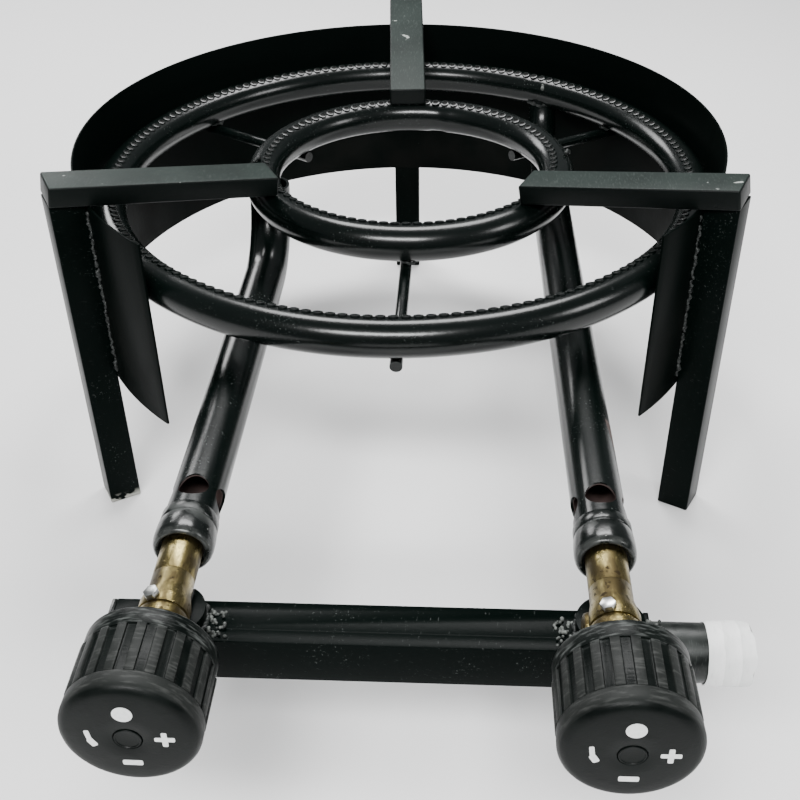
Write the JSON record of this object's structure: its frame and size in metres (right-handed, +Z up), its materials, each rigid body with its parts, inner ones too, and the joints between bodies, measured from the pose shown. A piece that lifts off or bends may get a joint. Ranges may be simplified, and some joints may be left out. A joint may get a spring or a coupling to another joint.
{
  "type": "two-ring stock pot burner",
  "caption": "Low three-legged gas stand with concentric tube burner rings, an open wind skirt and a square manifold with turning control knobs.",
  "frame": {"origin": "bottom centre of the whole object's bounding box, on the floor", "axes": "+X to the right, along the manifold and out of the gas inlet; +Y away from the knobs; +Z up"},
  "size_m": [0.4066, 0.6382, 0.2305],
  "materials": {
    "black_enamel": "gloss",
    "arm_paint": "satin",
    "brass": "satin",
    "zinc_steel": "satin",
    "knob_plastic": "satin",
    "cap_plastic": "satin",
    "white_tape": "matte"
  },
  "bodies": {
    "stand": {"arm_back": "arm_paint", "arm_left": "arm_paint", "arm_right": "arm_paint", "bonnet_left": "brass", "bonnet_right": "brass", "injector_left": "brass", "injector_right": "brass", "injector_sleeve_left": "brass", "injector_sleeve_right": "brass", "inlet_end_plate": "black_enamel", "inlet_pipe": "black_enamel", "inner_ring": "black_enamel", "leg_back": "black_enamel", "leg_left": "black_enamel", "leg_right": "black_enamel", "low_flame_screw_left": "zinc_steel", "low_flame_screw_right": "zinc_steel", "manifold": "black_enamel", "manifold_end_plate": "black_enamel", "mixing_tube_left": "black_enamel", "mixing_tube_right": "black_enamel", "mouth_bell_left": "black_enamel", "mouth_bell_right": "black_enamel", "outer_ring": "black_enamel", "return_spring_left": "zinc_steel", "return_spring_right": "zinc_steel", "sealing_tape": "white_tape", "tie_back_left": "black_enamel", "tie_back_right": "black_enamel", "tie_front": "black_enamel", "valve_body_left": "brass", "valve_body_right": "brass", "valve_socket_left": "black_enamel", "valve_socket_right": "black_enamel", "wind_skirt": "black_enamel"},
    "left_press": {"spring_washer_left": "zinc_steel"},
    "left_knob": {"knob_left": "knob_plastic", "knob_cap_left": "cap_plastic", "spindle_left": "brass"},
    "left_plug": {"gas_plug_left": "brass"},
    "right_press": {"spring_washer_right": "zinc_steel"},
    "right_knob": {"knob_right": "knob_plastic", "knob_cap_right": "cap_plastic", "spindle_right": "brass"},
    "right_plug": {"gas_plug_right": "brass"}
  },
  "joints": [
    {"name": "left_push", "type": "slide", "parent": "stand", "child": "left_press", "axis": [0, 1, 0], "range_m": [0, 0.003], "stiffness_N_per_m": 700, "springref_m": -0.004, "deforming": ["return_spring_left"]},
    {"name": "left_turn", "type": "hinge", "parent": "left_press", "child": "left_knob", "pos_m": [-0.085, -0.29703, 0.141], "axis": [0, -1, 0], "range_deg": [0, 180]},
    {"name": "left_plug_turn", "type": "hinge", "parent": "stand", "child": "left_plug", "pos_m": [-0.085, -0.25507, 0.141], "axis": [0, -1, 0], "range_deg": [0, 180]},
    {"name": "right_push", "type": "slide", "parent": "stand", "child": "right_press", "axis": [0, 1, 0], "range_m": [0, 0.003], "stiffness_N_per_m": 700, "springref_m": -0.004, "deforming": ["return_spring_right"]},
    {"name": "right_turn", "type": "hinge", "parent": "right_press", "child": "right_knob", "pos_m": [0.108, -0.29703, 0.141], "axis": [0, -1, 0], "range_deg": [0, 180]},
    {"name": "right_plug_turn", "type": "hinge", "parent": "stand", "child": "right_plug", "pos_m": [0.108, -0.25507, 0.141], "axis": [0, -1, 0], "range_deg": [0, 180]}
  ],
  "couplings": [
    {"joint": "left_plug_turn", "follows": "left_turn", "ratio": 1},
    {"joint": "right_plug_turn", "follows": "right_turn", "ratio": 1}
  ]
}
